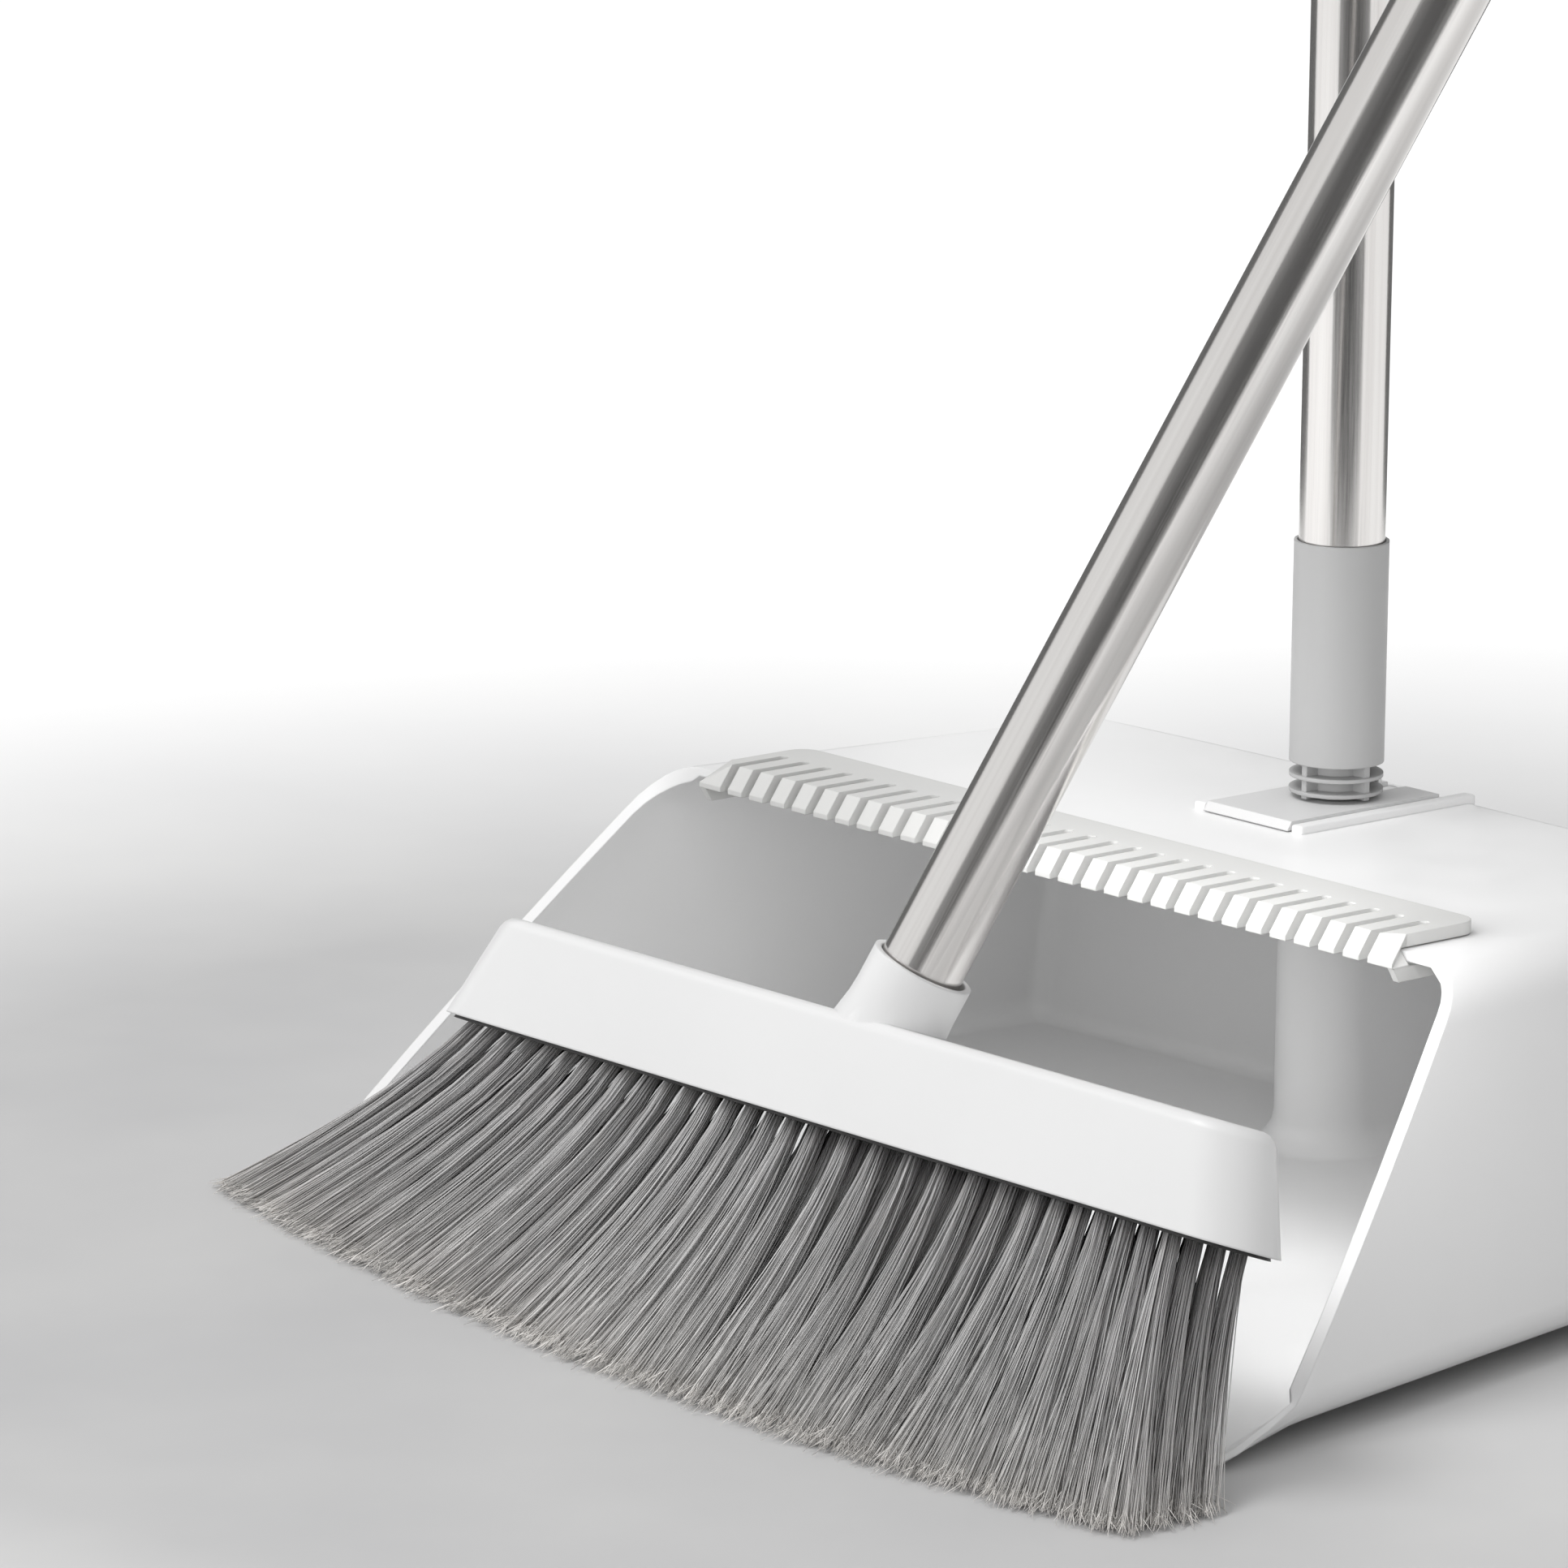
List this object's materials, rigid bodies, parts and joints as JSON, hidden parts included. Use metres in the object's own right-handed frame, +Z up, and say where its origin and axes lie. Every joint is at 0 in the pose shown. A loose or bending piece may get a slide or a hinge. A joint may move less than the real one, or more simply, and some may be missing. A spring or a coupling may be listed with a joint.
{
  "type": "broom and upright dustpan set",
  "caption": "Long-handled broom standing before an upright windproof dustpan with a comb strip on its hood and a handle that slides off the pan.",
  "frame": {"origin": "on the floor under the middle of the pan's hood, in the flat underside of the pan's front foot", "axes": "+Z up, -Y out of the pan's mouth, +X to the right seen from behind the mouth looking along +Y"},
  "size_m": [0.5802, 0.4542, 1.0805],
  "materials": {
    "white_plastic": "satin off-white moulding",
    "comb_plastic": "light grey, fine matt",
    "neck_plastic": "mid grey, fine matt",
    "grip_plastic": "soft grey grip",
    "dark_plastic": "dark grey tuft block",
    "bristle_fibre": "fine crimped grey filament with pale flagged tips",
    "tube_steel": "polished lengthwise",
    "screw_steel": "plain"
  },
  "bodies": {
    "pan": {"pan_body": "white_plastic"},
    "comb": {"comb_strip": "comb_plastic"},
    "handle": {"neck_plate": "neck_plastic", "neck_sleeve": "neck_plastic", "socket_peg": "neck_plastic", "neck_screw": "screw_steel", "pan_tube_lower": "tube_steel", "pan_tube_plug": "neck_plastic", "pan_tube_coupler": "neck_plastic", "pan_tube_upper": "tube_steel", "pan_grip": "grip_plastic", "pan_grip_cap": "neck_plastic"},
    "tab": {"release_tab": "white_plastic"},
    "clip": {"broom_clip": "neck_plastic"},
    "broom": {"broom_head": "white_plastic", "bristle_block": "dark_plastic", "block_screw_1": "screw_steel", "block_screw_2": "screw_steel", "block_screw_3": "screw_steel", "block_screw_4": "screw_steel", "bristle_row_1": "bristle_fibre", "bristle_row_2": "bristle_fibre", "bristle_row_3": "bristle_fibre", "bristle_row_4": "bristle_fibre"},
    "broom_handle": {"broom_tube_lower": "tube_steel", "broom_tube_plug": "neck_plastic", "broom_tube_coupler": "neck_plastic", "broom_tube_upper": "tube_steel", "broom_grip": "grip_plastic", "broom_grip_cap": "neck_plastic"}
  },
  "joints": [
    {"name": "comb_unclip", "type": "slide", "parent": "pan", "child": "comb", "axis": [0, -0.9999, 0.014], "range_m": [0, 0.03]},
    {"name": "handle_slide_off", "type": "slide", "parent": "pan", "child": "handle", "axis": [0, 0.9999, -0.014], "range_m": [0, 0.055]},
    {"name": "tab_flex", "type": "hinge", "parent": "handle", "child": "tab", "pos_m": [0, 0.08591, 0.09632], "axis": [-1, 0, 0], "range_deg": [0, 10], "stiffness_Nm_per_rad": 0.2},
    {"name": "clip_slide", "type": "slide", "parent": "handle", "child": "clip", "axis": [0, 0.014, 0.9999], "range_m": [-0.017, 0.129]},
    {"name": "broom_lift", "type": "slide", "parent": "pan", "child": "broom", "axis": [0, 0, 1], "range_m": [0, 0.3]},
    {"name": "broom_handle_pull", "type": "slide", "parent": "broom", "child": "broom_handle", "axis": [0.3057, 0.3412, 0.8889], "range_m": [0, 0.04]}
  ]
}
